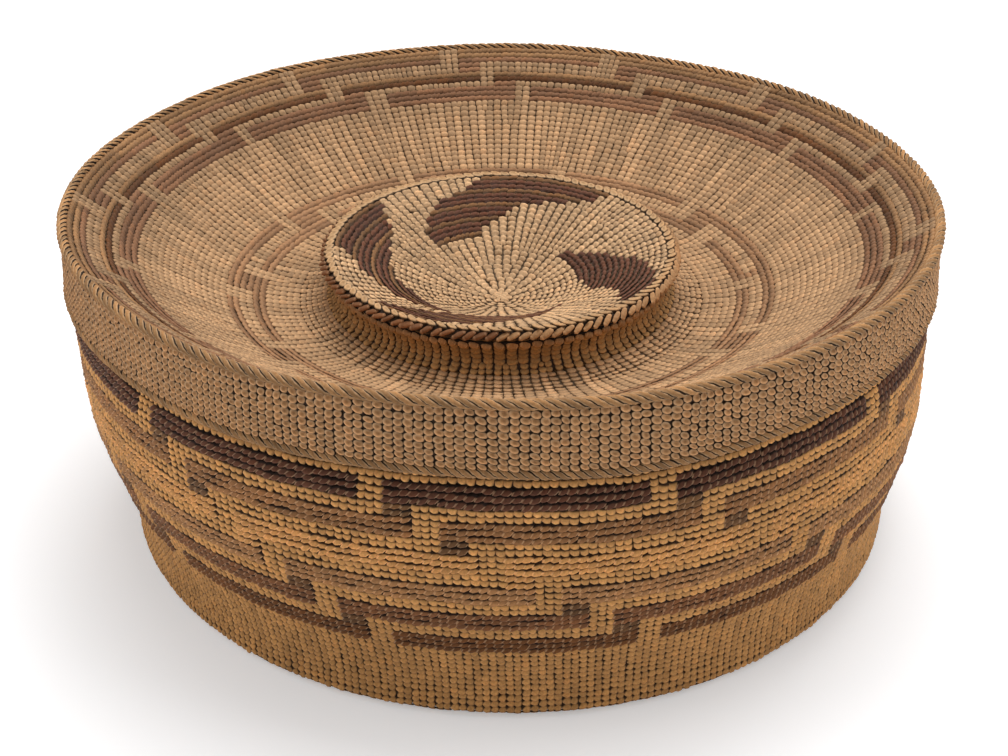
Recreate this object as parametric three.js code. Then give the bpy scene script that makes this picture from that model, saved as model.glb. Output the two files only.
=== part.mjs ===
// A lidded basket of twined split root. The knob on its lid is a hollow with loose pebbles in it,
// which rattle when the lid is lifted or shaken.
// Millimetres, +Z up. The origin is the centre of the flat underside.
import * as THREE from 'three';

// Weave
const weaveThickness = 1.6;
const seam = 0.3; // left between one woven piece and the next
const facets = 44; // round the axis
const cordSides = 6;

// Basket
const footRadius = 83.3;
const footCorner = 5; // rounding of the edge under the wall
const bellyRadius = 88.9;
const bellyHeight = 36; // the wall is full from here up
const collarInset = 1.9; // how far the wall draws in under the lid
const collarAboveHem = 1.85; // it is drawn in from this far above the hem's lower edge
const shoulderDrop = 9; // over this height
const mouthHeight = 67.65; // top of the mouth's edge cord
const mouthCordRadius = 1.2;

// Lid
const lidPlay = 0.35; // between the mouth's cord and the flange
const cornerCordRadius = 1.35;
const bandSlope = THREE.MathUtils.degToRad(35.5);
const bandWidth = 12.45; // of the steep outer band
const hemFlare = 0.5; // how much wider the hem is than the corner
const hemCordRadius = 1.2;
const hemDrop = 15.3; // from the lid's top to the bottom of the hem
const dishRingRadius = 58.2;
const dishRingDepth = 20.6; // the dish's depths are below the corner cord's centre
const dishFloorRadius = 50;
const dishFloorDepth = 23.6;
const knobFootRadius = 43.2;
const knobFootDepth = 24.7;

// Knob
const knobRadius = 38.05;
const knobCordRadius = 1.5;
const knobHeight = 10.65; // from the foot's weave to the centre of the edge cord
const knobWaistRadius = 34.6;
const knobWaistHeight = 4.6;
const footFlareRise = 0.6; // the neck's height halfway from foot to waist
const neckLean = THREE.MathUtils.degToRad(80); // how steeply the neck meets the edge cord
const bowlSlope = THREE.MathUtils.degToRad(18); // of the bowl's lip
const bowlDepth = 11.8;
const bowlFullness = 1.06; // 0 is a plain dish, 1 flattens the lip

// Overlaid pattern bands, which stand a little proud of the plain weave
const bandRise = 0.3;
const bandEdge = 0.3; // over which it rises
const rowPitch = 1.34; // of the wall's stitches
const wallBandCount = 6;
const wallBandRows = 3;
const wallBandSpacing = 5; // rows
const wallBandTop = 54.9; // height of the uppermost band's upper edge
const rimBands = [[2.35, 4.05], [6.35, 8.65], [9.85, 13.25]]; // on the dish, in from the corner cord's centre
const knobBands = [[56, 58.8], [50.4, 53.4]]; // on the dish, inner and outer radius

// Rattle chamber
const floorOverlap = 0.4; // how far the floor reaches under the dish
const lashingRadius = 0.8;
const pebbleCount = 8;
const pebbleLength = 4.2;
const pebbleSpread = 0.5; // how much longer or shorter than that a pebble is
const pebbleWidth = 0.85; // of its length
const pebbleHeight = 0.8; // of its length
const pebblePlay = 4.7; // between a pebble and the neck
const goldenAngle = THREE.MathUtils.degToRad(137.5);

// Colours
const rootTan = 0xb48a5c;
const rootLight = 0xc8a070;
const rootBrown = 0x8a6848;
const pebbleGrey = 0x8b867c;

const point = (radius, height) => new THREE.Vector2(radius, height);
const along = (from, angle, distance) =>
  point(from.x + Math.cos(angle) * distance, from.y + Math.sin(angle) * distance);
const half = weaveThickness / 2;

// Two sheets that meet at a cord start this far from its centre, clear of it and of each other.
function cordReach(cordRadius, angleBetween) {
  return Math.max(cordRadius + seam, (half + seam / 2) / Math.sin(angleBetween / 2));
}

function material(color, roughness) {
  return new THREE.MeshStandardMaterial({ color, roughness, metalness: 0 });
}

// Turns a closed outline, given as radius and height, round the Z axis.
function turned(name, outline, colour, roughness = 0.75) {
  const points = THREE.ShapeUtils.area(outline) < 0 ? outline.slice().reverse() : outline.slice();
  if (points.every((p) => p.x > 0)) points.push(points[0].clone());
  const geometry = new THREE.LatheGeometry(points, facets);
  geometry.rotateX(Math.PI / 2);
  const mesh = new THREE.Mesh(geometry, material(colour, roughness));
  mesh.name = name;
  return mesh;
}

// How far the weave stands out at a place, in a list of bands' lower and upper edges
function bandHeight(place, bands) {
  const inside = Math.max(...bands.map(([low, high]) => Math.min(place - low, high - place)));
  return bandRise * THREE.MathUtils.clamp(inside / bandEdge + 0.5, 0, 1);
}

// The places where the bands start and end to rise
const bandPlaces = (bands) =>
  bands.flatMap(([low, high]) => [low - bandEdge / 2, low + bandEdge / 2, high - bandEdge / 2, high + bandEdge / 2]);

// The outline of a woven sheet that lies half its thickness either side of a line. Its outer side is raised.
function sheetOutline(line, raise = () => 0) {
  const side = (sign) =>
    line.map((p, i) => {
      const before = line[Math.max(i - 1, 0)];
      const after = line[Math.min(i + 1, line.length - 1)];
      const way = after.clone().sub(before).normalize();
      const upright = p.x === 0 ? point(0, Math.sign(way.x)) : point(-way.y, way.x);
      return upright.multiplyScalar(sign < 0 ? -half - raise(p) : half).add(p);
    });
  return [...side(1), ...side(-1).reverse()];
}

function cordOutline(centre, radius) {
  return Array.from({ length: cordSides }, (_, i) => along(centre, (2 * Math.PI * i) / cordSides, radius));
}

const mouthCordCentre = point(bellyRadius - collarInset - half, mouthHeight - mouthCordRadius);

// The flange fits round the mouth's cord, and the sloped band rests on it.
const cornerRadius = mouthCordCentre.x + mouthCordRadius + lidPlay + half;
const cornerRise = (mouthCordRadius + seam + half + (cornerRadius - mouthCordCentre.x) * Math.sin(bandSlope))
  / Math.cos(bandSlope);
const cornerCentre = point(cornerRadius, mouthCordCentre.y + cornerRise);
const cornerReach = cordReach(cornerCordRadius, Math.PI / 2 - bandSlope);
const hemBottom = cornerCentre.y + cornerCordRadius - hemDrop;
const hemCentre = point(cornerRadius + cornerCordRadius + hemFlare - hemCordRadius, hemBottom + hemCordRadius);
const knobFoot = point(knobFootRadius, cornerCentre.y - knobFootDepth);
const collarHeight = hemBottom + collarAboveHem;

// The basket's wall, as the radius of its outer face at a height
function wallRadius(height) {
  const ease = (from, to) => THREE.MathUtils.smoothstep((height - from) / (to - from), 0, 1);
  return bellyRadius
    - (bellyRadius - footRadius) * ease(bellyHeight, footCorner)
    - collarInset * ease(collarHeight - shoulderDrop, collarHeight);
}

function makeBase() {
  const cornerSteps = 4;
  const flatRadius = footRadius - footCorner;
  const line = [point(0, half), point(flatRadius / 2, half), point(flatRadius, half)];
  for (let i = 1; i <= cornerSteps; i++) {
    const angle = (i / cornerSteps - 1) * (Math.PI / 2);
    line.push(along(point(flatRadius, footCorner), angle, footCorner - half));
  }
  return turned('basket_base', sheetOutline(line), rootTan);
}

function makeWall() {
  const steps = 11;
  const bottom = footCorner + seam;
  const top = mouthCordCentre.y - mouthCordRadius - seam;
  const bands = Array.from({ length: wallBandCount }, (_, i) => {
    const upper = wallBandTop - i * wallBandSpacing * rowPitch;
    return [upper - wallBandRows * rowPitch, upper];
  });
  const evenly = Array.from({ length: steps + 1 }, (_, i) => THREE.MathUtils.lerp(bottom, top, i / steps));
  const heights = [...evenly.filter((h) => bandPlaces(bands).every((b) => Math.abs(h - b) > 1)), ...bandPlaces(bands)];
  const line = heights.sort((a, b) => a - b).map((height) => point(wallRadius(height) - half, height));
  return turned('basket_wall', sheetOutline(line, (p) => bandHeight(p.y, bands)), rootTan);
}

function makeMouthCord() {
  return turned('basket_mouth_cord', cordOutline(mouthCordCentre, mouthCordRadius), rootTan);
}

function makeFlange() {
  const top = point(cornerCentre.x, cornerCentre.y - cornerReach);
  const bottom = point(hemCentre.x, hemCentre.y + hemCordRadius + seam);
  return turned('lid_flange', sheetOutline([top, bottom]), rootTan);
}

function makeDish() {
  const steps = 9;
  const curve = new THREE.CatmullRomCurve3(
    [
      along(cornerCentre, Math.PI + bandSlope, cornerReach),
      point(cornerCentre.x - bandWidth, cornerCentre.y - bandWidth * Math.tan(bandSlope)),
      point(dishRingRadius, cornerCentre.y - dishRingDepth),
      point(dishFloorRadius, cornerCentre.y - dishFloorDepth),
      knobFoot,
    ].map((p) => new THREE.Vector3(p.x, p.y, 0)),
  );
  const fine = curve.getSpacedPoints(steps * 40);
  const heightAt = (radius) => fine.reduce((a, b) => (Math.abs(b.x - radius) < Math.abs(a.x - radius) ? b : a)).y;
  const bands = [...rimBands.map(([near, far]) => [cornerRadius - far, cornerRadius - near]), ...knobBands];
  const places = bandPlaces(bands);
  const evenly = curve.getSpacedPoints(steps).map((p) => p.x);
  const kept = evenly.filter((r, i) => i % steps === 0 || places.every((b) => Math.abs(r - b) > 1));
  const line = [...kept, ...places].sort((a, b) => b - a).map((radius) => point(radius, heightAt(radius)));
  return turned('lid_dish', sheetOutline(line, (p) => bandHeight(p.x, bands)), rootLight);
}

const knobCordCentre = point(knobRadius - knobCordRadius, knobFoot.y + knobHeight);
const knobReach = cordReach(knobCordRadius, neckLean - bowlSlope);

function makeNeck() {
  const steps = 8;
  const curve = new THREE.CatmullRomCurve3(
    [
      point(knobFoot.x - seam, knobFoot.y),
      point((knobFoot.x + knobWaistRadius) / 2, knobFoot.y + footFlareRise),
      point(knobWaistRadius, knobFoot.y + knobWaistHeight),
      along(knobCordCentre, Math.PI + neckLean, knobReach),
    ].map((p) => new THREE.Vector3(p.x, p.y, 0)),
  );
  const line = curve.getSpacedPoints(steps).map((p) => point(p.x, p.y));
  return turned('knob_neck', sheetOutline(line), rootTan);
}

const bowlRim = along(knobCordCentre, Math.PI + bowlSlope, knobReach);

// Height of the bowl's middle line above its centre, at a radius
function bowlRise(radius) {
  const share = radius / bowlRim.x;
  return bowlDepth * share ** 2 * (1 + bowlFullness * (1 - share));
}

function makeBowl() {
  const steps = 8;
  const line = Array.from({ length: steps + 1 }, (_, i) => {
    const radius = (bowlRim.x * i) / steps;
    return point(radius, bowlRim.y - bowlDepth + bowlRise(radius));
  });
  return turned('knob_bowl', sheetOutline(line), rootLight);
}

// The disc that closes the chamber is sewn under the dish round the knob's foot.
const floorCentreHeight = bowlRim.y - bowlDepth - weaveThickness - seam;
const floorEdgeHeight = knobFoot.y - weaveThickness - seam;
const chamberRadius = knobFootRadius + floorOverlap;
const pebblePathRadius = knobWaistRadius - half - pebblePlay - pebbleLength / 2;
const floorFlatRadius = pebblePathRadius + pebbleLength / 2 + pebbleSpread;

function floorHeight(radius) {
  const share = THREE.MathUtils.smoothstep(radius, floorFlatRadius, knobWaistRadius + half);
  return THREE.MathUtils.lerp(floorCentreHeight, floorEdgeHeight, share);
}

function makeChamberFloor() {
  const radii = [0, floorFlatRadius];
  const steps = 4;
  for (let i = 1; i <= steps; i++) {
    radii.push(THREE.MathUtils.lerp(floorFlatRadius, chamberRadius, i / steps));
  }
  return turned('chamber_floor', sheetOutline(radii.map((r) => point(r, floorHeight(r)))), rootBrown);
}

function makeLashing() {
  const centre = point(chamberRadius + seam + lashingRadius, knobFoot.y - half - seam - lashingRadius);
  return turned('chamber_lashing', cordOutline(centre, lashingRadius), rootBrown);
}

function makePebble(index) {
  const length = pebbleLength + pebbleSpread * Math.sin(index * goldenAngle);
  const geometry = new THREE.SphereGeometry(length / 2, 8, 6);
  geometry.scale(1, pebbleWidth, pebbleHeight);
  const mesh = new THREE.Mesh(geometry, material(pebbleGrey, 0.6));
  const angle = (2 * Math.PI * index) / pebbleCount;
  const height = floorHeight(pebblePathRadius) + half + seam + (length * pebbleHeight) / 2;
  mesh.position.set(Math.cos(angle) * pebblePathRadius, Math.sin(angle) * pebblePathRadius, height);
  mesh.rotation.z = index;
  mesh.name = `pebble_${index + 1}`;
  return mesh;
}

const basket = new THREE.Group();
basket.add(makeBase(), makeWall(), makeMouthCord());

const lid = new THREE.Group();
lid.add(
  turned('lid_corner_cord', cordOutline(cornerCentre, cornerCordRadius), rootTan),
  makeFlange(),
  turned('lid_hem_cord', cordOutline(hemCentre, hemCordRadius), rootTan),
  makeDish(),
  makeNeck(),
  turned('knob_edge_cord', cordOutline(knobCordCentre, knobCordRadius), rootBrown),
  makeBowl(),
  makeChamberFloor(),
  makeLashing(),
);
for (let i = 0; i < pebbleCount; i++) lid.add(makePebble(i));

const rattleTopBasket = new THREE.Group();
rattleTopBasket.add(basket, lid);
export default rattleTopBasket;
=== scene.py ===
"""A lidded basket of twined split root, with a rattle in the hollow knob of its lid.

Every stitch is a bead of root laid over its upright warp. Rows of stitches follow the woven sheet from
the middle of the knob to the lid's hem, and from the basket's mouth to the middle of its underside.
"""
import math
from collections import namedtuple
from functools import partial

import bmesh
import bpy
import numpy as np
from mathutils import Matrix, Vector


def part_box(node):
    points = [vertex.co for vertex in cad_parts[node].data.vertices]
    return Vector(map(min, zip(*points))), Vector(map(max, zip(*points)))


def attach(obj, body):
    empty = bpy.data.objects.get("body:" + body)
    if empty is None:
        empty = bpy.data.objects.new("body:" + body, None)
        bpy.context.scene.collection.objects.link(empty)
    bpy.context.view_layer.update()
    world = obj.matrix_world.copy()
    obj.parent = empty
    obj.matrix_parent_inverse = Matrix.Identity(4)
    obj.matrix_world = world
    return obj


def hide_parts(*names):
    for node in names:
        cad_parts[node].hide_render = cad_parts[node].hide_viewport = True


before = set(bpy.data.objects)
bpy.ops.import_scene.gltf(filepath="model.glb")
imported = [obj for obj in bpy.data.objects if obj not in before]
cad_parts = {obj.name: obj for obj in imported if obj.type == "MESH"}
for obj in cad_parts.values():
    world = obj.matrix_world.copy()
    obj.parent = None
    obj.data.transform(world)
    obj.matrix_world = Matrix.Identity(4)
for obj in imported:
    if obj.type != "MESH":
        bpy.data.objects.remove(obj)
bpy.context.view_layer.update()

# Sizes are in millimetres until a piece is finished.
MM = 0.001
FULL_TURN = 2 * math.pi

# Woven sheet
SHEET_HALF = 0.8  # half the weave's thickness
CORE_HALF = 0.28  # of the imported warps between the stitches' two faces

# Basket
FOOT_RADIUS = 83.3
FOOT_CORNER = 2.2
FOOT_FLARE = 5.0  # height where the wall starts to widen
BELLY_RADIUS = 88.9
BELLY_HEIGHT = 36.0
COLLAR_INSET = 1.9
COLLAR_HEIGHT = 58.85
SHOULDER_DROP = 9.0
WALL_TOP = 64.95
WALL_WARPS = 352
WALL_PITCH = 1.34
BASE_PITCH = 1.5
DISC_START = 1.0  # radius of a disc's first row
HEM_BOTTOM = 57.0
MOUTH_CORD = (86.2, 66.1)

# Lid
CORNER_CORD = (88.8, 71.1)
HEM_CORD = (89.15, 58.25)
FLANGE_LINE = [(88.55, 70.3), (89.15, 59.2)]
FLANGE_PITCH = 1.25
DISH_LINE = [(43.2, 46.25), (50.0, 47.35), (58.2, 50.35), (67.2, 55.9), (76.1, 62.07), (88.3, 70.7)]
DISH_PITCH = 1.43
LID_WARPS = 352

# Knob
NECK_LINE = [(36.2, 54.9), (34.6, 50.85), (35.6, 48.4), (38.9, 46.85), (43.0, 46.25)]
NECK_PITCH = 1.27
NECK_WARPS = 108
NECK_FOOT = 47.6  # below this height the neck's rows look like the dish's
BOWL_RIM = (34.8, 56.33)
BOWL_DEPTH = 11.8
BOWL_FULLNESS = 1.06
BOWL_OVERLAP = 0.7  # how far its last row reaches into the edge
BOWL_PITCH = 1.36
CHAMBER_FLOOR_LINE = [(0.6, 42.63), (29.6, 42.63), (35.4, 44.35), (43.6, 44.35)]
CHAMBER_FLOOR_PITCH = 1.6
LASHING = (44.6, 44.3)

# How far apart the warps are before a row gets more of them
BASE_ROOM = 1.55
DISC_ROOM = 1.75
NECK_ROOM = 1.86
NECK_SPREAD_HEIGHT = 49  # below this height the neck gets more warps
DISH_ROOM = ((43, 70, 87), (1.83, 1.78, 1.565))  # at these radii

# Most stitches in one piece, outside and inside a sheet
MOST_OUTSIDE = 5400
MOST_INSIDE = 11000

# Dyes, in the order of DYE_COLOURS
PLAIN, PLUM, PLUM_GREY, OLIVE, OLIVE_DARK, GOLD, GREY = range(7)
GREY_DARK, BROWN, DARK, AMBER, RUST, DULL = range(7, 13)

# A row of stitches: where it lies, the ways outwards and downwards, and its width
Row = namedtuple("Row", "radius height out_r out_z down_r down_z pitch")


def srgb(red, green, blue):
    """A colour written 0 to 255, as Blender's linear numbers."""
    steps = [c / 255 for c in (red, green, blue)]
    return [c / 12.92 if c <= 0.04045 else ((c + 0.055) / 1.055) ** 2.4 for c in steps] + [1.0]


def ease(value, low, high):
    """From 0 at low to 1 at high, with soft ends."""
    share = np.clip((np.asarray(value, float) - low) / (high - low), 0, 1)
    return share * share * (3 - 2 * share)


# Lines of the woven sheets, as radius and height


def curve_through(points, steps=24):
    """A smooth curve through a few points."""
    points = np.array(points, float)
    ends = np.vstack([2 * points[0] - points[1], points, 2 * points[-1] - points[-2]])
    share = np.linspace(0, 1, steps, endpoint=False)[:, None]
    parts = []
    for before, here, there, after in zip(ends, ends[1:], ends[2:], ends[3:]):
        bend = 2 * before - 5 * here + 4 * there - after
        twist = 3 * (here - there) + after - before
        parts.append(here + 0.5 * share * (there - before + share * (bend + share * twist)))
    return np.vstack(parts + [points[-1:]])


def wall_radius(height):
    """Radius of the wall's middle line, waisted to the foot and drawn in under the lid."""
    return (
        BELLY_RADIUS
        - SHEET_HALF
        - (BELLY_RADIUS - FOOT_RADIUS) * ease(-height, -BELLY_HEIGHT, -FOOT_FLARE)
        - COLLAR_INSET * ease(height, COLLAR_HEIGHT - SHOULDER_DROP, COLLAR_HEIGHT)
    )


def wall_line():
    """From the mouth down to the foot and round its corner."""
    heights = np.linspace(WALL_TOP, FOOT_CORNER, 120)
    bend = np.linspace(0, -math.pi / 2, 12)[1:]
    reach = FOOT_CORNER - SHEET_HALF
    centre = FOOT_RADIUS - FOOT_CORNER
    corner = np.column_stack([centre + reach * np.cos(bend), FOOT_CORNER + reach * np.sin(bend)])
    return np.vstack([np.column_stack([wall_radius(heights), heights]), corner])


def base_line():
    """From the foot's corner to the middle of the underside."""
    radius = np.linspace(FOOT_RADIUS - FOOT_CORNER, DISC_START, 100)
    return np.column_stack([radius, np.full(len(radius), SHEET_HALF)])


def bowl_line():
    """From the middle of the knob out to its edge."""
    radius = np.linspace(DISC_START, BOWL_RIM[0] + BOWL_OVERLAP, 80)
    share = radius / BOWL_RIM[0]
    rise = BOWL_DEPTH * share**2 * (1 + BOWL_FULLNESS * (1 - share))
    return np.column_stack([radius, BOWL_RIM[1] - BOWL_DEPTH + rise])


def rows_along(line, pitch, narrowing=0.0):
    """Rows of stitches laid side by side along a line. Its outer side is to the left of its way."""
    steps = np.hypot(*np.diff(line, axis=0).T)
    length = np.concatenate([[0], np.cumsum(steps)])
    count = max(1, round(length[-1] / pitch))
    widths = length[-1] / count * np.linspace(1 + narrowing, 1 - narrowing, count)
    middles = np.cumsum(widths) - widths / 2
    rows = []
    for middle, pitch in zip(middles, widths):
        before, here, after = (
            [np.interp(middle + shift, length, line[:, axis]) for axis in (0, 1)]
            for shift in (-pitch / 2, 0, pitch / 2)
        )
        way = np.subtract(after, before)
        way /= np.hypot(*way)
        rows.append(Row(here[0], here[1], -way[1], way[0], way[0], way[1], pitch))
    return rows


# Warps


def spread_warps(counts, rng):
    """The warps' angles and names, row by row. New warps go in between two others, which make room."""
    names = np.arange(counts[0])
    angles = names * FULL_TURN / counts[0]
    new_name = counts[0]
    laid = []
    for count in counts:
        for _ in range(max(0, count - len(angles))):
            room = np.diff(np.append(angles, angles[0] + FULL_TURN))
            spot = int(np.argmax(room * rng.uniform(0.6, 1.0, len(room))))
            angles = np.insert(angles, spot + 1, angles[spot] + room[spot] / 2)
            names = np.insert(names, spot + 1, new_name)
            new_name += 1
        place = np.arange(len(angles))
        for _ in range(2):
            before = np.roll(angles, 1) - np.where(place == 0, FULL_TURN, 0)
            after = np.roll(angles, -1) + np.where(place == len(angles) - 1, FULL_TURN, 0)
            angles = angles + 0.3 * ((before + after) / 2 - angles)
        laid.append((angles.copy(), names.copy()))
    return laid


def warps_needed(row, room):
    """How many warps a row has when each has that much room."""
    return round(FULL_TURN * row.radius / room)


def column_tones(laid, rng, run=9):
    """A tone for each stitch, which changes slowly down its column of stitches."""
    most = max(names.max() for _, names in laid) + 1
    table = rng.random((most, len(laid) // run + 3))
    phase = rng.integers(0, run, most)
    tones = []
    for index, (_, names) in enumerate(laid):
        place = (index + phase[names]) / run
        whole = place.astype(int)
        share = place - whole
        tones.append(table[names, whole] * (1 - share) + table[names, whole + 1] * share)
    return tones


# The hand's unevenness, which bends every piece alike


def lean(height):
    """The basket leans a little to its left side from foot to shoulder."""
    return 1.3 - 2.1 * ease(height, 0, 56)


def shaped_by_hand(points):
    """Moves points, in millimetres, from the true round shape to the one that a hand wove."""
    x, y, z = points[:, 0], points[:, 1], points[:, 2]
    radius = np.hypot(x, y)
    angle = np.arctan2(y, x)
    outer = ease(radius, 45, 85)
    raised = ease(z, 2, 45)

    def waves(*terms):
        return sum(size * np.cos(count * angle + phase) for size, count, phase in terms)

    swell = waves((0.35, 2, 0.6), (0.25, 3, -1.0), (0.12, 7, 2.0)) * outer * (0.4 + 0.6 * raised)
    lift = waves((0.35, 2, -2.2), (0.28, 3, 0.7), (0.12, 8, 1.0)) * outer * raised
    # The hem and the wall's shoulder sag a little in front.
    front = np.exp(-(((np.degrees(angle) + 76) / 13) ** 2))
    sag = -0.5 * front * ease(z, 69, 58) * ease(z, 20, 56) * outer
    # The knob tips forwards and stands a little high.
    knob = 1 - ease(radius, 37, 52)
    tilt = knob * ease(z, 40, 44) * (math.tan(math.radians(1.5)) * y + 0.4 * ease(z, 46, 54))
    grow = (radius + swell) / np.maximum(radius, 1e-6)
    return np.column_stack([x * grow + lean(z), y * grow, z + lift + sag + tilt])


# Mesh helpers


def finish_mesh(bm, name):
    """Turns a bmesh into a smooth mesh."""
    mesh = bpy.data.meshes.new(name)
    bm.to_mesh(mesh)
    bm.free()
    mesh.polygons.foreach_set("use_smooth", np.ones(len(mesh.polygons), bool))
    return mesh


def points_of(mesh):
    """The mesh's points as an array."""
    found = np.empty(len(mesh.vertices) * 3)
    mesh.vertices.foreach_get("co", found)
    return found.reshape(-1, 3)


def round_axis(points):
    """The points' radius and their angle, as a share of a full turn."""
    return np.hypot(points[:, 0], points[:, 1]), np.arctan2(points[:, 1], points[:, 0]) / FULL_TURN % 1


def place_points(mesh, points):
    """Puts the shaped points, in millimetres, into the mesh in metres."""
    mesh.vertices.foreach_set("co", (shaped_by_hand(points) * MM).ravel())
    mesh.update()


def add_marks(mesh, **marks):
    """Stores marks for each point, which the materials read. A mark can be one number for all of them."""
    for name, values in marks.items():
        layer = mesh.attributes.new(name, "FLOAT", "POINT")
        values = np.broadcast_to(np.ravel(values), len(mesh.vertices))
        layer.data.foreach_set("value", values.astype(np.float32))


def spin_ring(bm, steps):
    """Turns the outline that a bmesh holds once round the axis."""
    bmesh.ops.spin(
        bm,
        geom=bm.verts[:] + bm.edges[:],
        cent=(0, 0, 0),
        axis=(0, 0, 1),
        angle=FULL_TURN,
        steps=steps,
        use_merge=True,
    )
    bmesh.ops.recalc_face_normals(bm, faces=bm.faces)


def add_object(name, data):
    """A new object in the scene."""
    thing = bpy.data.objects.new(name, data)
    bpy.context.scene.collection.objects.link(thing)
    return thing


def add_piece(mesh, material, body, node):
    """Adds a finished mesh that rides on a body and stands for a node of the solids."""
    piece = add_object(mesh.name, mesh)
    mesh.materials.append(material)
    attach(piece, body)
    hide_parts(node)


def wrap_map(mesh, across, along, strips):
    """The bake's map of a ring. Its length, across from 0 to 1, is cut into strips above each other."""
    corners = np.empty(len(mesh.loops), np.int32)
    mesh.loops.foreach_get("vertex_index", corners)
    starts = np.empty(len(mesh.polygons), np.int32)
    mesh.polygons.foreach_get("loop_start", starts)
    face = np.repeat(np.arange(len(starts)), np.diff(np.append(starts, len(corners))))
    places = []
    for values in (across, along):
        at = np.asarray(values, float)[corners]
        most = np.maximum.reduceat(at, starts)[face]
        places.append(np.where(most - at > 0.5, at + 1, at))
    strip = np.floor(np.minimum.reduceat(places[0], starts)[face] * strips + 1e-6)
    u = places[0] * strips - strip
    v = ((strip % strips) + 0.03 + 0.94 * places[1] / 1.2) / strips
    layer = mesh.uv_layers.new(name="OFBake")
    layer.uv.foreach_set("vector", np.column_stack([u / 1.1, v]).astype(np.float32).ravel())


# Stitches


def copy_beads(name, count, sides, steps):
    """One mesh of that many unit beads, and the shape of one bead. Its poles lie along its strand, in y,
    and its front half has nearly all of its faces."""
    bm = bmesh.new()
    bm.loops.layers.uv.new("OFBake")
    lay_down = Matrix.Rotation(math.pi / 2, 4, "X")
    bmesh.ops.create_uvsphere(
        bm, u_segments=sides, v_segments=steps, radius=1, matrix=lay_down, calc_uvs=True
    )
    bead = finish_mesh(bm, "bead")
    shape = points_of(bead)
    ring = np.hypot(shape[:, 0], shape[:, 2])
    place = np.round(np.arctan2(shape[:, 2], shape[:, 0]) / FULL_TURN * sides).astype(int)
    order = (place - sides // 2 - 1) % sides
    behind = order == sides - 1
    section = math.pi * (order / (sides - 2) - 0.5)
    shape[:, 0] = np.where(behind, -0.5 * ring, ring * np.cos(section))
    shape[:, 2] = np.where(behind, 0, ring * np.sin(section))
    bm = bmesh.new()
    for _ in range(count):
        bm.from_mesh(bead)
    bpy.data.meshes.remove(bead)
    return finish_mesh(bm, name), shape


def stitch_map(mesh, stitches):
    """Gives each stitch its own cell on the bake's map."""
    layer = mesh.uv_layers["OFBake"]
    found = np.empty(len(mesh.loops) * 2, np.float32)
    layer.uv.foreach_get("vector", found)
    found = found.reshape(stitches, -1, 2)
    side = math.ceil(math.sqrt(stitches))
    index = np.arange(stitches)
    cell = np.column_stack([index % side, index // side])
    found = (found * 0.9 + 0.05 + cell[:, None]) / side
    layer.uv.foreach_set("vector", found.astype(np.float32).ravel())


# Rows, each row's warps as angles and names, and a tone and a dye for each stitch
Weave = namedtuple("Weave", "rows laid tones dyes")

# A stitch's half sizes, along and up, are shares of its room, and thick is in millimetres. It leans by
# slope, shears by skew, and tips its lower edge outwards by tuck. Low numbers for edge and crown make its
# outline and its top squarer. Seat is how far out it lies. It is moved up its column by slide, and by
# stagger in every other column. Uneven is how much it varies, and lap how far its upper part lies in the
# dark under the row above, which is painted shade.
Stitch = namedtuple("Stitch", "along up thick slope skew tuck edge crown seat slide stagger uneven lap")
SCALE = Stitch(0.59, 0.76, 0.42, -0.22, 0.0, 0.42, 0.71, 0.72, 0.36, 0.28, 0.03, 0.06, 1.0)
LOZENGE = Stitch(0.66, 0.58, 0.54, -0.36, 0.0, 0.14, 0.84, 0.85, 0.36, 0.0, 0.06, 0.08, 0.0)
DISC = Stitch(0.55, 0.74, 0.38, -0.10, 0.0, 0.04, 0.70, 0.60, 0.40, 0.0, 0.02, 0.05, 0.1)
PEARL = Stitch(0.53, 0.64, 0.42, -0.12, 0.0, 0.10, 0.80, 0.80, 0.36, 0.0, 0.02, 0.06, 0.1)
COIL = Stitch(0.53, 0.70, 0.56, -0.14, 0.0, 0.16, 0.82, 0.90, 0.32, 0.08, 0.08, 0.08, 0.1)
KNOT = Stitch(0.50, 0.56, 0.74, -0.30, 0.0, 0.10, 0.90, 0.90, 0.78, 0.0, 0.0, 0.08, 0.0)
LINING = Stitch(0.70, 0.70, 0.55, -0.10, 0.0, 0.0, 0.80, 0.75, 0.34, 0.0, 0.0, 0.05, 0.0)
INNER = Stitch(0.54, 0.54, 0.48, -0.15, 0.0, 0.0, 0.80, 0.75, 0.34, 0.0, 0.05, 0.06, 0.0)
FLAT = Stitch(0.53, 0.54, 0.42, -0.10, 0.0, 0.0, 0.80, 0.60, 0.34, 0.0, 0.05, 0.06, 0.0)
OVERLAID = Stitch(0.66, 0.68, 0.40, 0.0, 0.80, 0.60, 0.88, 0.60, 0.44, 0.18, 0.0, 0.07, 1.0)
WING = Stitch(0.60, 0.60, 0.36, 0.0, 0.45, 0.30, 0.80, 0.70, 0.42, 0.02, 0.0, 0.06, 0.85)
STRIP = Stitch(0.62, 0.62, 0.34, 0.0, 0.45, 0.22, 0.74, 0.70, 0.42, 0.02, 0.0, 0.05, 0.45)
RIM = Stitch(0.80, 0.56, 0.52, -0.55, 0.0, 0.10, 0.95, 0.90, 0.40, 0.0, 0.0, 0.08, 0.0)
BRAID = Stitch(0.74, 0.50, 0.50, 0.55, 0.0, 0.10, 0.90, 0.90, 0.45, 0.0, 0.0, 0.09, 0.0)


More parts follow.
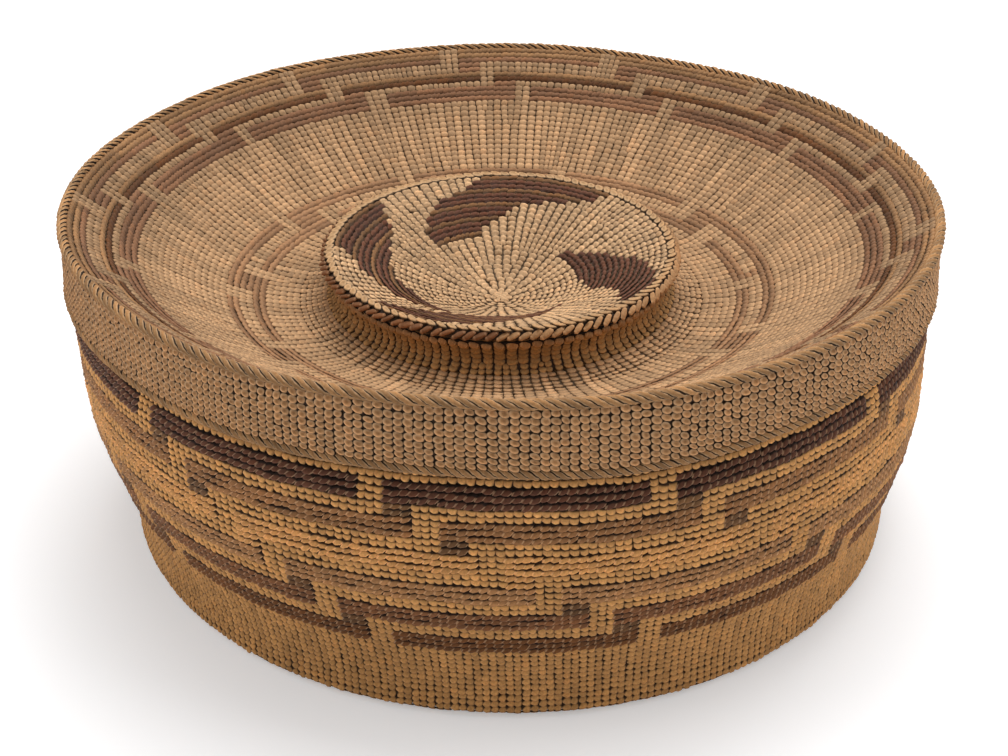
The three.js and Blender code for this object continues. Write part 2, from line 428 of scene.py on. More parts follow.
def sew(name, weave, plain, overlaid=OVERLAID, side=1, sides=6, steps=4, seed=1):
    """The stitches on one side of a sheet, as one mesh. Side is 1 outside and -1 inside."""
    rng = np.random.default_rng(seed)
    counts = [len(angles) for angles, _ in weave.laid]
    total = sum(counts)
    mesh, bead = copy_beads(name, total, sides, steps)

    def column(values):
        return np.asarray(values)[:, None]

    radius, height, out_r, out_z, down_r, down_z, pitch = (
        column(np.repeat(part, counts)) for part in zip(*weave.rows)
    )
    row = column(np.repeat(np.arange(len(counts)), counts))
    angle, names = (column(np.concatenate(part)) for part in zip(*weave.laid))
    room = column(np.concatenate([room_for(angles) for angles, _ in weave.laid])) * radius
    dye = column(np.concatenate(weave.dyes))
    kind = Stitch(*(column(part) for part in np.where(dye > 0, overlaid, plain).T))
    last_names = weave.laid[-1][1]
    column_shift = rng.uniform(-0.5, 0.5, names.max() + 1)
    column_shift[last_names] += np.where(np.arange(len(last_names)) % 2, 0.5, -0.5)

    def vary(amount):
        return rng.normal(0, amount, (total, 1))

    uneven = kind.uneven
    long = kind.along * room * (1 + uneven * vary(0.8))
    tall = kind.up * pitch * (1 + uneven * vary(1))
    thick = kind.thick * (1 + uneven * vary(1))
    slope = kind.slope + uneven * vary(1.4)
    tuck = kind.tuck + uneven * vary(0.7)
    seat = kind.seat + uneven * vary(0.5)
    angle = angle + uneven * vary(0.4) * room / radius
    slide = (kind.slide + kind.stagger * column_shift[names] + uneven * vary(0.6)) * pitch
    wave = 0.08 * np.sin(29 * angle + 0.7 * row) + 0.05 * np.sin(47 * angle - 1.3 * row)
    slide += pitch * wave * kind.lap**4
    # Undyed stitches that lap are flatter low on the wall and lap less, and there their tone is darker as
    # painted shade.
    lap = kind.lap * np.where(dye > 0, 1, 0.55 + 0.45 * ease(height, 12, 40))
    low = kind.lap * np.where(dye > 0, 0, 1 - ease(height, 12, 40))
    thick *= 1 - 0.35 * low

    def rounded(axis, power):
        return np.sign(bead[:, axis]) * np.abs(bead[:, axis]) ** power

    w, u, v = rounded(0, kind.crown), rounded(1, kind.edge) * side, rounded(2, kind.edge)
    along = u * long * np.cos(slope) - v * tall * np.sin(slope) + kind.skew * v * tall
    rise = u * long * np.sin(slope) + v * tall * np.cos(slope)
    out = side * (w * thick + seat - tuck * rise)
    up = rise + slide
    r = radius + out * out_r - up * down_r
    z = height + out * out_z - up * down_z
    turn = angle + along / np.maximum(r, 0.5)
    points = np.stack([r * np.cos(turn), r * np.sin(turn), z], axis=2).reshape(-1, 3)

    place_points(mesh, points)
    stitch_map(mesh, total)
    size = len(bead)
    add_marks(
        mesh,
        dye=np.repeat(dye, size),
        stitch_tone=np.repeat(rng.random(total), size),
        strand_tone=np.repeat(column(np.concatenate(weave.tones)) - 0.6 * low, size),
        lap=np.repeat(lap, size),
        across=np.tile(bead[:, 1], total),
        upwards=(1 - 0.3 * low) * bead[:, 2],
    )
    return mesh


def crossed_strands(name, height, side=1):
    """The first warps of a disc, laid across each other in its middle."""
    count = 6
    mesh, bead = copy_beads(name, count, 6, 4)
    index = np.arange(count)[:, None]
    turn = index // 2 * math.radians(58) + 0.4
    along = bead[:, 1] * 2.3 * side
    beside = bead[:, 2] * 0.5 + np.where(index % 2, 0.45, -0.45)
    up = height + side * (0.3 * bead[:, 0] + 0.06 * index)
    x = along * np.cos(turn) - beside * np.sin(turn)
    y = along * np.sin(turn) + beside * np.cos(turn)
    place_points(mesh, np.stack([x, y, up], axis=2).reshape(-1, 3))
    stitch_map(mesh, count)
    add_marks(
        mesh,
        dye=0,
        stitch_tone=np.repeat(np.linspace(0, 0.7, count), len(bead)),
        strand_tone=0.6,
        lap=0,
        across=np.tile(bead[:, 1] * 0.5, count),
        upwards=np.tile(bead[:, 2], count),
    )
    return mesh


def room_for(angles):
    """The angle that each stitch of a row has to itself."""
    if len(angles) < 3:
        return np.full(len(angles), 2.0)
    after = np.diff(np.append(angles, angles[0] + FULL_TURN))
    return (after + np.roll(after, 1)) / 2


def in_bands(weave, most_stitches):
    """Cuts a weave into bands of rows that hold no more stitches than that."""
    bands, start, held = [], 0, 0
    for index, (angles, _) in enumerate(weave.laid):
        if held and held + len(angles) > most_stitches:
            bands.append(Weave(*(part[start:index] for part in weave)))
            start, held = index, 0
        held += len(angles)
    bands.append(Weave(*(part[start:] for part in weave)))
    return bands


def sheet_core(name, rows, steps=120):
    """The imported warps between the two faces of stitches: a thin closed shell."""
    outer, inner = (
        [(row.radius + half * row.out_r, row.height + half * row.out_z) for row in rows]
        for half in (CORE_HALF, -CORE_HALF)
    )
    outline = outer + inner[::-1]
    bm = bmesh.new()
    ring = [bm.verts.new((r, 0, z)) for r, z in outline]
    for pair in zip(ring, ring[1:] + ring[:1]):
        bm.edges.new(pair)
    spin_ring(bm, steps)
    mesh = finish_mesh(bm, name)
    points = points_of(mesh)
    radius, across = round_axis(points)
    places = {(round(r, 3), round(z, 3)): i / len(outline) for i, (r, z) in enumerate(outline)}
    along = [places.get((round(r, 3), round(z, 3)), 0) for r, z in zip(radius, points[:, 2])]
    wrap_map(mesh, across, along, 1)
    place_points(mesh, points)
    return mesh


# Cords


def upright_at(radius, height):
    """Puts a circle upright in front of the axis, to be turned round it."""
    return Matrix.Translation((radius, 0, height)) @ Matrix.Rotation(math.pi / 2, 4, "X")


def twist_cord(name, centre, reach, thick, wide, turns, seed, strands=3, sides=8, steps=8):
    """A cord of strands that wind round each other, laid as a ring round the axis. Reach is how far a
    strand's middle lies from the cord's, and thick and wide are its half sizes."""
    rng = np.random.default_rng(seed)
    bm = bmesh.new()
    radius, height = centre
    for _ in range(strands):
        part = bmesh.new()
        place = upright_at(radius + reach, height) @ Matrix.Diagonal((thick, wide, 1, 1))
        bmesh.ops.create_circle(part, segments=sides, radius=1, cap_ends=False, matrix=place)
        spin_ring(part, turns * steps)
        mesh = finish_mesh(part, "strand")
        bm.from_mesh(mesh)
        bpy.data.meshes.remove(mesh)
    mesh = finish_mesh(bm, name)
    points = points_of(mesh)
    strand = np.repeat(np.arange(strands), len(points) // strands)
    angle = np.arctan2(points[:, 1], points[:, 0]) % FULL_TURN
    angle[angle > FULL_TURN - 1e-5] = 0
    r = np.hypot(points[:, 0], points[:, 1]) - radius
    z = points[:, 2] - height
    section = np.arctan2(z, r - reach) / FULL_TURN % 1
    wind = strand * FULL_TURN / strands - turns * angle
    lap = np.floor(-wind / FULL_TURN - 0.5).astype(int) % turns
    fat = rng.normal(1, 0.06, (strands, turns))[strand, lap] * (1 + 0.32 * np.cos(wind - 0.6))
    shift = rng.normal(0, 0.03, (strands, turns))[strand, lap]
    wind = wind + rng.normal(0, 0.06, (strands, turns))[strand, lap]
    r = reach * (1 + shift) + (r - reach) * fat
    z = z * fat
    # Crease marks the slits between strands, where the material paints shade, and tapered widens that
    # painted shade towards the cord's underside.
    crease = np.abs(np.arctan2(z, r)) * strands / math.pi
    turned_r = r * np.cos(wind) - z * np.sin(wind)
    turned_z = r * np.sin(wind) + z * np.cos(wind)
    tapered = 0.86 + 0.16 * (1 - np.cos(np.arctan2(turned_z, turned_r) - 0.7))
    out = radius + turned_r
    wrap_map(mesh, angle / FULL_TURN, section, 24)
    place_points(mesh, np.column_stack([out * np.cos(angle), out * np.sin(angle), height + turned_z]))
    fibres = 0.3 * np.cos(sides * math.pi * section)
    add_marks(
        mesh,
        dye=0,
        stitch_tone=rng.random((strands, turns))[strand, lap] + fibres,
        strand_tone=rng.random((strands, turns))[strand, lap],
        lap=0,
        across=0,
        upwards=crease * tapered,
    )
    return mesh


def cord_heart(name, centre, radius):
    """The warps' ends inside a cord: a thin ring that closes the gaps between its strands."""
    bm = bmesh.new()
    bmesh.ops.create_circle(bm, segments=8, radius=radius, cap_ends=False, matrix=upright_at(*centre))
    spin_ring(bm, 176)
    mesh = finish_mesh(bm, name)
    points = points_of(mesh)
    ring, across = round_axis(points)
    section = np.arctan2(points[:, 2] - centre[1], ring - centre[0])
    wrap_map(mesh, np.where(across > 0.99999, 0, across), section / FULL_TURN % 1, 4)
    place_points(mesh, points)
    return mesh


# Patterns, as a dye for each stitch of a row


def within(angles, start, length):
    """Which angles, in degrees, lie in a stretch that starts at an angle."""
    return (angles - start) % 360 < length


def wall_dyes(laid, rows_under_lid):
    """Six stepped bars, each joined to the next by a block at its end."""
    repeat = 360 / 11
    stitch = 360 / WALL_WARPS
    bar, block = 29 * stitch, 3 * stitch
    starts = (-102.4, -95.9, -89.4, -82.9, -76.9, -70.4)
    bars = (PLUM, OLIVE, GOLD, GREY, BROWN, DARK)
    blocks = (PLUM_GREY, OLIVE_DARK, GOLD, GREY_DARK, GREY_DARK, PLAIN)
    top_row = 2
    level_rows = 5
    bar_rows = 3
    dyes = []
    for index, (angles, _) in enumerate(laid):
        degrees = np.degrees(angles)
        below_hem = index - rows_under_lid
        level, rest = divmod(below_hem - top_row, level_rows)
        dye = np.zeros(len(angles), int)
        if below_hem >= top_row and level < len(bars):
            start = starts[level] - stitch / 2
            place = (degrees - start) % repeat
            if rest < bar_rows:
                dye[place < bar] = bars[level]
            else:
                dye[place < block] = blocks[level]
        dyes.append(dye)
    return dyes


def dyed_stretch(degrees, repeat, start, end, dye):
    """Dyes a row from a start to an end that come again and again round it."""
    return np.where((degrees - start) % repeat < (end - start) % repeat, dye, 0)


def dish_dyes(rows, laid):
    """Three stepped bars inside the rim and two round the foot of the knob. Each bar's gaps have their own
    place, and the rows between two bars have a block from one gap to the next."""
    outer, middle, inner = 71.5, 65.0, 58.1  # angles of a gap in each bar inside the rim
    # From the rim inwards, the gaps between which a row is dyed
    rim = [(outer, outer, AMBER)] * 2 + [(outer, outer, RUST)] + [(middle, outer, RUST)] * 2
    rim += [(middle, middle, AMBER), (middle, middle, DARK), (inner, middle, RUST)]
    rim += [(inner, inner, RUST)] * 3
    half_gap = 1.45
    # From the knob outwards, the radii of some rows and the angles where their dye starts and ends
    foot = ((50.9, 53.0, -7.35, -11.85), (53.0, 56.4, -7.3, 0.1), (56.4, 58.6, 4.55, 0.05))
    dyes = plain_dyes(rows, laid)
    for index, (row, (angles, _)) in enumerate(zip(rows, laid)):
        degrees = np.degrees(angles)
        from_rim = len(rows) - 1 - index
        if from_rim < len(rim):
            start, end, dye = rim[from_rim]
            dyes[index] = dyed_stretch(degrees, 360 / 13, start + half_gap, end - half_gap, dye)
        for low, high, start, end in foot:
            if low <= row.radius < high:
                dyes[index] = dyed_stretch(degrees, 37.0, start, end, DULL)
    return dyes


# Each wing of the whirl: some radii, and the angles where it starts and ends there
BACK_WING = (
    (19, 22, 25, 28, 30, 32, 34.8),
    (108, 97, 87, 76, 58, 50, 46),
    (132, 137, 131, 124, 119, 105, 98),
)
RIGHT_WING = (
    (16.5, 17.6, 20.2, 23.7, 26.9, 31, 34.8),
    (0, -6, -20, -25, -29, -40, -46),
    (48, 42, 28, 13, 3, -7, -24),
)
LEFT_WING = (
    (20.2, 22.3, 23.5, 25, 27.5, 31, 34.8),
    (205, 196, 180, 163, 150, 145, 140),
    (240, 238, 235, 225, 205, 187, 178),
)
FRONT_WING = (
    (17, 20, 23.7, 27, 31, 34.8),
    (265, 250, 243, 240, 230, 225),
    (317, 300, 285, 275, 265, 250),
)


def bowl_dyes(rows, laid):
    """Four wings that whirl out to the knob's edge. Three of them are greyer in every third row."""
    dyes = []
    for index, (row, (angles, _)) in enumerate(zip(rows, laid)):
        degrees = np.degrees(angles)
        dye = np.zeros(len(angles), int)
        for wing in (BACK_WING, RIGHT_WING, LEFT_WING, FRONT_WING):
            radii, starts, ends = wing
            if row.radius >= radii[0]:
                start = np.interp(row.radius, radii, starts)
                end = np.interp(row.radius, radii, ends)
                greyer = wing is not RIGHT_WING and (index + 1) % 3 == 0
                dye[within(degrees, start, end - start)] = PLUM_GREY if greyer else PLUM
        dyes.append(dye)
    return dyes


def plain_dyes(rows, laid):
    """No dye at all."""
    return [np.zeros(len(angles), int) for angles, _ in laid]


def neck_dyes(rows, laid):
    """The neck's top row, under the knob's edge, is paler than the rest."""
    dyes = plain_dyes(rows, laid)
    dyes[0] += AMBER
    return dyes


def overlay_tones(tones, dyes, rng, run=11):
    """The tones with those of dyed stitches changed: an overlaid strip keeps its tone along its row."""
    mixed = []
    for tone, dye in zip(tones, dyes):
        strips = np.repeat(rng.random(len(tone) // run + 1), run)[: len(tone)]
        mixed.append(np.where(dye > 0, np.roll(strips, rng.integers(run)), tone))
    return mixed


def weave_sheet(rows, laid, dyes, rng):
    """Rows and their warps with a tone and a dye for each stitch."""
    return Weave(rows, laid, overlay_tones(column_tones(laid, rng), dyes, rng), dyes)


# Materials


def new_material(name):
    """A material, its nodes and its shader."""
    material = bpy.data.materials.new(name)
    material.use_nodes = True
    tree = material.node_tree
    return material, tree, tree.nodes["Principled BSDF"]


def set_inputs(node, values):
    """Gives some of a node's inputs, by name or number, a value or a link to a socket."""
    for key, value in values.items():
        if isinstance(value, bpy.types.NodeSocket):
            node.id_data.links.new(value, node.inputs[key])
        else:
            node.inputs[key].default_value = value


def add_node(tree, kind, values=None, **settings):
    """A new node with its settings and its inputs."""
    node = tree.nodes.new(kind)
    for key, value in settings.items():
        setattr(node, key, value)
    set_inputs(node, values or {})
    return node


def maths(tree, kind, first, second=0.0):
    """The result of a Math node of that kind."""
    return add_node(tree, "ShaderNodeMath", {0: first, 1: second}, operation=kind).outputs[0]


def spread_range(tree, value, low, high, to_low=0, to_high=1):
    """The value moved from one range to another, and kept inside it."""
    values = {"Value": value, "From Min": low, "From Max": high, "To Min": to_low, "To Max": to_high}
    return add_node(tree, "ShaderNodeMapRange", values).outputs["Result"]


def blend_colours(tree, kind, share, first, second):
    """Two colours blended."""
    values = {0: share, 6: first, 7: second}
    return add_node(tree, "ShaderNodeMix", values, data_type="RGBA", blend_type=kind).outputs[2]


def attribute(tree, name):
    """One of the marks stored with a mesh."""
    return add_node(tree, "ShaderNodeAttribute", attribute_name=name).outputs["Fac"]


def place_in_object(tree):
    """Where a point lies in its object."""
    return add_node(tree, "ShaderNodeTexCoord").outputs["Object"]


def length_of(tree, vector):
    """How long a vector is."""
    return add_node(tree, "ShaderNodeVectorMath", {0: vector}, operation="LENGTH").outputs["Value"]


def add_noise(tree, scale, detail=2.0):
    """Noise that is fixed to the object."""
    values = {"Vector": place_in_object(tree), "Scale": scale, "Detail": detail}
    return add_node(tree, "ShaderNodeTexNoise", values).outputs["Fac"]


def add_relief(tree, height, strength, distance):
    """Fine relief, as a shader's normal."""
    values = {"Height": height, "Strength": strength, "Distance": distance}
    return add_node(tree, "ShaderNodeBump", values).outputs["Normal"]


DYE_COLOURS = (
    srgb(176, 132, 84),  # plain
    srgb(90, 56, 40),  # plum
    srgb(116, 82, 52),  # plum grey
    srgb(146, 102, 64),  # olive
    srgb(106, 75, 49),  # olive dark
    srgb(200, 144, 86),  # gold
    srgb(158, 113, 72),  # grey
    srgb(98, 68, 43),  # grey dark
    srgb(118, 77, 48),  # brown
    srgb(104, 65, 35),  # dark
    srgb(166, 124, 84),  # amber
    srgb(146, 104, 74),  # rust
    srgb(148, 110, 78),  # dull
)


# What a material of split root can set, and its usual value. Outline is where a stitch's painted dark edge
# starts, from 0 at its middle, and row_line is how much of that painted shade is left between rows. The
# setting for gaps is how dark the painted shade in the gaps and under the row above is, and the one for
# tile edges how pale the painted highlight at a dyed stitch's ends is.
USUAL_ROOT = dict(
    streaks=0.25,
    stitch_change=0.25,
    gap_dark=0.85,
    stain=0.3,
    tile_edge=0.3,
    outer_soil=0.0,
    outline=0.76,
    row_line=1.0,
    rim_light=0.15,
)


def root_group():
    """The colour of split root: dyed or plain, strand by strand, with painted shade in the gaps and under
    the row above, and painted highlights on lips and rims.
    """
    group = bpy.data.node_groups.new("split_root", "ShaderNodeTree")
    sockets = group.interface
    sockets.new_socket("Plain", in_out="INPUT", socket_type="NodeSocketColor")
    for name in USUAL_ROOT:
        sockets.new_socket(name, in_out="INPUT", socket_type="NodeSocketFloat")
    for name, kind in (("Colour", "Color"), ("Rough", "Float"), ("Height", "Float")):
        sockets.new_socket(name, in_out="OUTPUT", socket_type="NodeSocket" + kind)
    given = add_node(group, "NodeGroupInput").outputs

    kinds = ("ADD", "SUBTRACT", "MULTIPLY", "MAXIMUM")
    plus, minus, times, darker = (partial(maths, group, kind) for kind in kinds)
    ranged = partial(spread_range, group)

    def shade(colour, value, strength):
        """Makes the colour lighter or darker by a value round 0.5."""
        factor = plus(times(minus(value, 0.5), strength), 1.0)
        grey = add_node(group, "ShaderNodeCombineColor", dict.fromkeys(range(3), factor))
        return blend_colours(group, "MULTIPLY", 1.0, colour, grey.outputs[0])

    def by_dye(plain, dyed):
        """One value for plain stitches and another for dyed ones."""
        return plus(plain, times(is_dyed, minus(dyed, plain)))

    ramp = add_node(group, "ShaderNodeValToRGB")
    ramp.color_ramp.interpolation = "CONSTANT"
    while len(ramp.color_ramp.elements) < len(DYE_COLOURS):
        ramp.color_ramp.elements.new(0.5)
    step = 1 / len(DYE_COLOURS)
    for index, (element, colour) in enumerate(zip(ramp.color_ramp.elements, DYE_COLOURS)):
        element.position = index * step
        element.color = colour
    dye = attribute(group, "dye")
    set_inputs(ramp, {0: plus(times(dye, step), step / 2)})
    is_dyed = maths(group, "GREATER_THAN", dye, 0.5)
    colour = blend_colours(group, "MIX", is_dyed, given["Plain"], ramp.outputs[0])

    strand_tone = attribute(group, "strand_tone")
    stitch_tone = attribute(group, "stitch_tone")
    colour = shade(colour, strand_tone, given["streaks"])
    colour = shade(colour, stitch_tone, given["stitch_change"])

    # Stains, and soil on the outer part of the lid
    colour = shade(colour, add_noise(group, 26, 4), given["stain"])
    flat = {0: place_in_object(group), 1: (1, 1, 0)}
    flat_place = add_node(group, "ShaderNodeVectorMath", flat, operation="MULTIPLY").outputs[0]
    outer = ranged(length_of(group, flat_place), 0.069, 0.077, 0.5, 0)
    colour = shade(colour, outer, given["outer_soil"])

    # Some stitches are warmer, and all have fine fibres.
    warm_share = ranged(stitch_tone, 0.8, 1, 0, 0.25)
    colour = blend_colours(group, "MULTIPLY", warm_share, colour, srgb(255, 232, 214))
    fibre = add_noise(group, 2600, 3)
    fine = shade(colour, fibre, 0.8)

    upwards = attribute(group, "upwards")
    lap = attribute(group, "lap")
    across = attribute(group, "across")
    aside = maths(group, "ABSOLUTE", across)

    # How dark the painted shade on a plain stitch is: at its outline, where its end dives, and under the
    # row above
    raised = times(upwards, given["row_line"])
    from_middle = maths(group, "SQRT", plus(times(aside, aside), times(raised, raised)))
    outer_part = plus(from_middle, times(times(upwards, lap), 0.10))
    outline = ranged(minus(outer_part, given["outline"]), 0, 0.12)
    dive_shade = ranged(minus(times(across, 0.8), times(upwards, 0.5)), 0.50, 0.90, 0, 0.8)
    lapped = plus(upwards, times(aside, minus(1.45, times(lap, 1.5))))
    lapped = minus(plus(lapped, times(minus(lap, 1.0), 0.7)), times(across, 0.15))
    under = times(ranged(lapped, -0.06, 0.18), ranged(lap, 0.0, 0.5))
    dark_plain = darker(darker(outline, dive_shade), under)

    # How dark the painted shade on a dyed stitch is: under the row above, and at its lower end
    tile_lapped = plus(upwards, times(aside, 0.25))
    tile_under = times(ranged(tile_lapped, 0.08, 0.32), lap)
    dark_tile = darker(tile_under, ranged(upwards, -0.85, -1.0, 0, 0.8))

    # Painted highlights: a stitch is lighter along its lower lip and its rim, most on its upper side
    # towards one end, as if lit from there, and a plain stitch's middle is a little darker than its rim.
    lip_highlight = times(ranged(upwards, 0.1, -0.7), 0.38)
    middle = times(ranged(from_middle, 0.15, 0.55, -0.6, 0), given["rim_light"])
    tile_rim_light = times(ranged(aside, 0.50, 0.64), given["tile_edge"])
    tile_rim_light = times(tile_rim_light, minus(1.0, tile_under))
    lip_and_rim_lit = shade(fine, plus(plus(lip_highlight, by_dye(middle, tile_rim_light)), 0.5), 1.0)
    lit_side = ranged(minus(upwards, across), -0.6, 0.6, 0.35, 1)
    plain_rim_light = times(times(ranged(from_middle, 0.30, 0.65), lit_side), given["rim_light"])
    rim = by_dye(plain_rim_light, times(tile_rim_light, 0.45))
    highlighted = blend_colours(group, "MIX", rim, lip_and_rim_lit, srgb(222, 188, 148))
    # Painted shade: the dark share of each stitch is mixed towards near-black.
    shade_share = times(by_dye(dark_plain, dark_tile), given["gap_dark"])
    dark = blend_colours(group, "MIX", shade_share, highlighted, srgb(28, 17, 11))
    rough = ranged(stitch_tone, 0, 1, 0.65, 0.85)
    add_node(group, "NodeGroupOutput", {"Colour": dark, "Rough": rough, "Height": fibre})
    return group


SPLIT_ROOT = root_group()


def root_material(name, plain, **changes):
    """Split root of a plain colour. The changes are the settings that differ from the usual ones."""
    material, tree, shader = new_material(name)
    values = {"Plain": plain, **USUAL_ROOT, **changes}
    root = add_node(tree, "ShaderNodeGroup", values, node_tree=SPLIT_ROOT).outputs
    relief = add_relief(tree, root["Height"], 0.25, 0.0001)
    set_inputs(shader, {"Base Color": root["Colour"], "Roughness": root["Rough"], "Normal": relief})
    set_inputs(shader, {"Specular IOR Level": 0.18, "Sheen Weight": 0.03})
    set_inputs(shader, {"Sheen Roughness": 0.5, "Sheen Tint": srgb(255, 240, 226)})
    return material


def core_material(name, dark, light):
    """Packed warps, seen only in the gaps, coloured dark there as painted shade."""
    material, tree, shader = new_material(name)
    colour = blend_colours(tree, "MIX", add_noise(tree, 400), dark, light)
    set_inputs(shader, {"Base Color": colour, "Roughness": 0.9})
    return material


def pebble_material():
    """Worn stone with fine specks."""
    material, tree, shader = new_material("beach_pebble")
    specks = add_noise(tree, 500, 6)
    colour = blend_colours(tree, "MIX", specks, srgb(104, 100, 94), srgb(172, 166, 156))
    rough = spread_range(tree, specks, 0, 1, 0.35, 0.6)
    relief = add_relief(tree, specks, 0.4, 0.0002)
    set_inputs(shader, {"Base Color": colour, "Roughness": rough, "Normal": relief})
    return material


ROOT_WALL = root_material("root_wall", srgb(206, 150, 89), gap_dark=0.95, tile_edge=0.75)
ROOT_FLANGE = root_material(
    "root_flange", srgb(194, 142, 94), streaks=0.15, gap_dark=0.97, outline=0.68, rim_light=0.6
)
LID_ROOT = dict(tile_edge=0.12, outline=0.7, rim_light=0.12)
ROOT_DISH = root_material(
    "root_dish", srgb(179, 141, 103), **LID_ROOT, streaks=0.45, stitch_change=0.18, gap_dark=0.52,
    outer_soil=0.6,
)
ROOT_BOWL = root_material(
    "root_bowl", srgb(190, 153, 114), **LID_ROOT, streaks=0.35, gap_dark=0.7, row_line=0.9
)
ROOT_NECK = root_material("root_neck", srgb(167, 127, 80), outline=0.72, row_line=0.85)
ROOT_EDGE = root_material("root_edge", srgb(182, 142, 100), outline=0.74, rim_light=0.3)
ROOT_CORD = root_material(
    "root_cord", srgb(180, 134, 88), stitch_change=0.6, gap_dark=0.97, outline=0.68, rim_light=0.4
)
ROOT_INSIDE = root_material("root_inside", srgb(166, 128, 88))
SHADE_CORE = core_material("shaded_warps", srgb(34, 22, 15), srgb(64, 44, 30))
SHADE_CORE_PALE = core_material("shaded_warps_pale", srgb(66, 50, 34), srgb(98, 78, 54))
PEBBLE = pebble_material()


# Sheets and cords as pieces of the scene


def add_sheet(
    name, weave, stitch, material, body, node, slot, seed, overlaid=OVERLAID, bead=(6, 4), inner=(4, 3)
):
    """A woven sheet: its packed warps, the stitches outside and the stitches inside. Bead and inner are the
    sides and steps of a stitch on either face."""
    # The packed warps are dark as painted shade in the gaps, less dark under the dish and the knob.
    core = SHADE_CORE_PALE if material in (ROOT_DISH, ROOT_BOWL) else SHADE_CORE
    add_piece(sheet_core(f"{name}_warps", weave.rows), core, body, node)
    for index, band in enumerate(in_bands(weave, MOST_OUTSIDE)):
        label = f"{name}_stitches_{index + 1}"
        mesh = sew(label, band, stitch, overlaid, 1, *bead, seed=seed + index)
        add_piece(mesh, material, body, node)
    if inner:
        bare = Weave(weave.rows, weave.laid, weave.tones, plain_dyes(weave.rows, weave.laid))
        under = INNER if inner[1] > 2 else LINING
        for index, band in enumerate(in_bands(bare, MOST_INSIDE)):
            label = f"{name}_inside_{index + 1}"
            mesh = sew(label, band, under, under, -1, *inner, seed=seed + 50 + index)
            add_piece(mesh, ROOT_INSIDE, body, node)


def add_cord(name, centre, reach, thick, wide, turns, body, node, seed, strands=3):
    """A cord and its heart, which is dark as painted shade in the slits between the strands."""
    add_piece(cord_heart(f"{name}_heart", centre, reach + 0.1), SHADE_CORE, body, node)
    cord = twist_cord(name, centre, reach, thick, wide, turns, seed, strands)
    add_piece(cord, ROOT_CORD, body, node)


# The basket

rng = np.random.default_rng(11)

wall_rows = rows_along(wall_line(), WALL_PITCH)
rows_under_lid = round((WALL_TOP - HEM_BOTTOM) / wall_rows[0].pitch)
base_rows = rows_along(base_line(), BASE_PITCH)
base_counts = [min(WALL_WARPS, warps_needed(row, BASE_ROOM)) for row in base_rows][::-1]
base_laid = spread_warps(base_counts, rng)[::-1]

# The wall's warps wander a little, anew every few rows.
wall_names = np.arange(WALL_WARPS)
wander_rows = 6
wander = rng.normal(0, 0.04, (len(wall_rows) // wander_rows + 2, WALL_WARPS))
wall_laid = []
for index in range(len(wall_rows)):
    whole, share = divmod(index / wander_rows, 1)
    drift = wander[int(whole)] * (1 - share) + wander[int(whole) + 1] * share
    wall_laid.append(((wall_names + drift) * FULL_TURN / WALL_WARPS, wall_names))
wall = weave_sheet(wall_rows, wall_laid, wall_dyes(wall_laid, rows_under_lid), rng)
base = weave_sheet(base_rows, base_laid, plain_dyes(base_rows, base_laid), rng)

add_sheet("wall", wall, SCALE, ROOT_WALL, "basket", "basket_wall", "root_tan", 20, bead=(5, 4))
add_sheet("base", base, FLAT, ROOT_WALL, "basket", "basket_base", "root_tan", 90, bead=(4, 3))
base_start = crossed_strands("base_start", 0.75, -1)
add_piece(base_start, ROOT_WALL, "basket", "basket_base")
inside_start = crossed_strands("base_inside_start", 1.25)
add_piece(inside_start, ROOT_INSIDE, "basket", "basket_base")
add_cord("mouth_edge", MOUTH_CORD, 0.66, 0.46, 0.62, 100, "basket", "basket_mouth_cord", 4)

# The lid

bowl_rows = rows_along(bowl_line(), BOWL_PITCH)
neck_rows = rows_along(curve_through(NECK_LINE), NECK_PITCH)
dish_rows = rows_along(curve_through(DISH_LINE), DISH_PITCH)
flange_rows = rows_along(curve_through(FLANGE_LINE), FLANGE_PITCH, narrowing=0.14)
lid_rows = bowl_rows + neck_rows + dish_rows + flange_rows

counts = [min(NECK_WARPS, warps_needed(row, DISC_ROOM)) for row in bowl_rows]
for row in neck_rows:
    spread = warps_needed(row, NECK_ROOM) if row.height < NECK_SPREAD_HEIGHT else 0
    counts.append(max(NECK_WARPS, spread))
for row in dish_rows:
    counts.append(min(LID_WARPS, warps_needed(row, np.interp(row.radius, *DISH_ROOM))))
counts += [LID_WARPS] * len(flange_rows)
counts = list(np.maximum.accumulate(counts))
lid_laid = spread_warps(counts, rng)
lid_tones = column_tones(lid_laid, rng)


def part_of_lid(rows, make_dyes):
    """The weave of some of the lid's rows, which share their warps."""
    start = lid_rows.index(rows[0])
    stretch = slice(start, start + len(rows))
    laid = lid_laid[stretch]
    dyes = make_dyes(rows, laid)
    return Weave(rows, laid, overlay_tones(lid_tones[stretch], dyes, rng), dyes)


steep_rows = [row for row in neck_rows if row.height > NECK_FOOT]
foot_rows = [row for row in neck_rows if row.height <= NECK_FOOT]
thin = (4, 2)  # sides and steps of the stitches inside
bowl = part_of_lid(bowl_rows, bowl_dyes)
add_sheet("bowl", bowl, PEARL, ROOT_BOWL, "lid", "knob_bowl", "root_light", 200, WING, inner=thin)
neck = part_of_lid(steep_rows, neck_dyes)
add_sheet("neck", neck, COIL, ROOT_NECK, "lid", "knob_neck", "root_tan", 300, KNOT, inner=thin)
neck_foot = part_of_lid(foot_rows, plain_dyes)
add_sheet("neck_foot", neck_foot, PEARL, ROOT_DISH, "lid", "knob_neck", "root_tan", 350, inner=thin)
dish = part_of_lid(dish_rows, dish_dyes)
add_sheet("dish", dish, DISC, ROOT_DISH, "lid", "lid_dish", "root_light", 400, STRIP, (5, 4), thin)
flange = part_of_lid(flange_rows, plain_dyes)
add_sheet("flange", flange, LOZENGE, ROOT_FLANGE, "lid", "lid_flange", "root_tan", 500, inner=thin)

